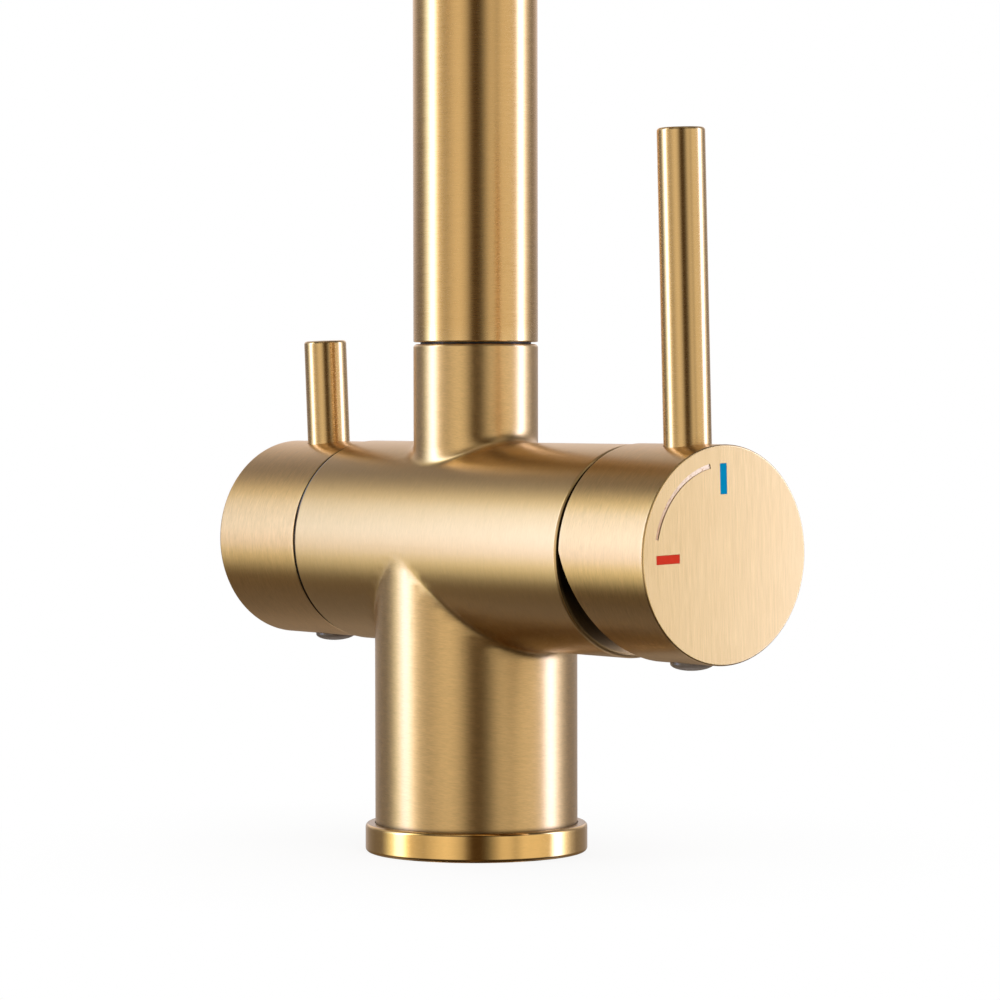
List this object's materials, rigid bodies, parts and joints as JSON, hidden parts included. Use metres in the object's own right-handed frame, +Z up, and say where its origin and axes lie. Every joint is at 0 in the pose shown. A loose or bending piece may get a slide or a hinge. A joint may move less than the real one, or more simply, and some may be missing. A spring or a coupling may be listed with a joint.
{
  "type": "three way filtered water tap",
  "caption": "Kitchen mixer tap with a swivelling gooseneck spout, a mixer lever on one side and a quarter turn filtered water lever on the other.",
  "frame": {"origin": "on the column's vertical axis at the level of the worktop, which is the flange's underside", "axes": "+Z up along the column, +X towards the mixer knob, -X towards the filter knob, -Y the way the spout reaches"},
  "size_m": [0.1501, 0.2375, 0.432],
  "materials": {
    "brushed_brass": "brushed brass colour, fine grain, satin",
    "raw_brass": "machined brass",
    "steel": "machined stainless steel",
    "rubber": "matt black",
    "grey_plug": "grey, slightly glossy",
    "white_plastic": "off white, moulded",
    "dark_plastic": "dark grey, moulded",
    "ceramic": "lapped ceramic",
    "blue_enamel": "enamel fill",
    "red_enamel": "enamel fill"
  },
  "bodies": {
    "tap_base": {"tap_body": "brushed_brass", "base_flange": "brushed_brass", "deck_gasket": "rubber", "mounting_shank": "raw_brass", "rubber_washer": "rubber", "clamp_washer": "steel", "shank_nut": "raw_brass", "cartridge_base_seal": "rubber", "cartridge_base": "white_plastic", "ceramic_disc_fixed": "ceramic", "cartridge_housing": "white_plastic", "cartridge_nut": "raw_brass", "filter_valve_seal": "rubber", "filter_valve_body": "raw_brass", "filter_disc_fixed": "ceramic", "slip_ring": "dark_plastic", "filtered_water_nipple": "raw_brass"},
    "spout": {"spout_tube": "brushed_brass", "spout_spigot": "raw_brass", "spigot_o_ring_1": "rubber", "spigot_o_ring_2": "rubber", "spout_snap_ring": "steel", "filtered_water_tube": "white_plastic", "aerator_housing": "brushed_brass", "aerator_insert": "white_plastic", "aerator_seal": "rubber", "filtered_nozzle": "white_plastic"},
    "mixer_turret": {"cartridge_turret": "dark_plastic", "stem_pivot_pin": "steel"},
    "mixer_handle": {"lever_stem": "steel", "mixer_knob": "brushed_brass", "mixer_lever_pin": "brushed_brass", "mixer_grub_screw": "steel", "mixer_screw_plug": "grey_plug", "cold_mark": "blue_enamel", "hot_mark": "red_enamel"},
    "mixer_disc": {"ceramic_disc_moving": "ceramic", "disc_carrier": "dark_plastic"},
    "filter_handle": {"filter_knob": "brushed_brass", "filter_lever_pin": "brushed_brass", "filter_grub_screw": "steel", "filter_screw_plug": "grey_plug", "filter_disc_moving": "ceramic", "filter_spindle": "raw_brass"}
  },
  "joints": [
    {"name": "spout_swivel", "type": "hinge", "parent": "tap_base", "child": "spout", "pos_m": [0, 0, 0.114], "axis": [0, 0, 1], "continuous": true},
    {"name": "mixer_temperature", "type": "hinge", "parent": "tap_base", "child": "mixer_turret", "pos_m": [0.04014, 0, 0.0691], "axis": [1, 0, 0], "range_deg": [-1.65, 88.35]},
    {"name": "mixer_flow", "type": "hinge", "parent": "mixer_turret", "child": "mixer_handle", "pos_m": [0.04014, 0, 0.0691], "axis": [0, 0.9996, 0.0288], "range_deg": [0, 18]},
    {"name": "mixer_disc_slide", "type": "slide", "parent": "mixer_turret", "child": "mixer_disc", "axis": [0, -0.0288, 0.9996], "range_m": [0, 0.0026]},
    {"name": "filter_turn", "type": "hinge", "parent": "tap_base", "child": "filter_handle", "pos_m": [-0.0536, 0, 0.0691], "axis": [1, 0, 0], "range_deg": [-2.48, 87.52]}
  ],
  "couplings": [
    {"joint": "mixer_disc_slide", "follows": "mixer_flow", "m_per_rad": 0.008}
  ]
}
